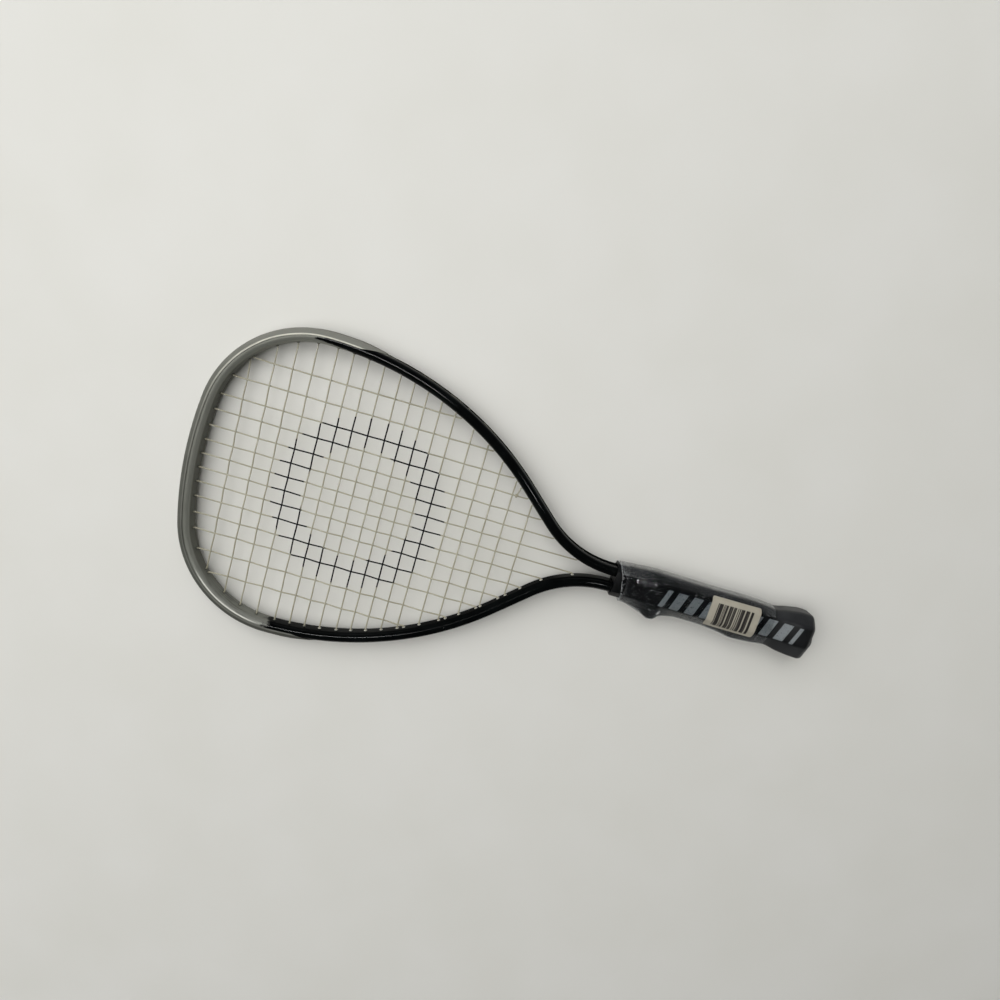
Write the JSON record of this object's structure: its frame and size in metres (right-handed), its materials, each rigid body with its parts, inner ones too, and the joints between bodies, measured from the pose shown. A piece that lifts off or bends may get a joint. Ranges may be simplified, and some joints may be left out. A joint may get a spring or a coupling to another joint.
{
  "type": "racquetball racket",
  "caption": "Full-size racquetball racket: teardrop metal tube frame with open throat, woven string bed, bumper guard, collar and moulded rubber grip with finger rest.",
  "frame": {"origin": "middle of the box around the racket", "axes": "+X from the head's tip to the butt, +Z out of the face with the paper label, +Y to the side away from the finger rest"},
  "size_m": [0.559, 0.2676, 0.0312],
  "materials": {
    "frame": "gloss black tube with a silver painted head end",
    "guard": "dull olive-grey moulded nylon",
    "nylon": "translucent grey grommet strip",
    "string": "cream nylon string",
    "collar": "black moulded collar and plug",
    "pallet": "unpainted dark core, inside the grip",
    "grip": "smooth black moulded rubber",
    "screw": "zinc-plated screws",
    "film": "clear shrink film of a new racket",
    "label": "cream paper label"
  },
  "bodies": {
    "root": {"frame_tube": "frame", "bumper_guard": "guard", "grommet_strip_right": "nylon", "grommet_strip_left": "nylon", "main_string": "string", "cross_string": "string", "tie_off_knot": "string", "main_start_knot": "string", "main_end_knot": "string", "cross_start_knot": "string", "throat_collar": "collar", "pallet_front": "pallet", "pallet_back": "pallet", "pallet_screw_1": "screw", "pallet_screw_2": "screw", "pallet_screw_3": "screw", "butt_insert": "pallet", "grip_sleeve": "grip", "lanyard_plug": "collar", "shrink_film": "film", "paper_label": "label"}
  },
  "joints": []
}
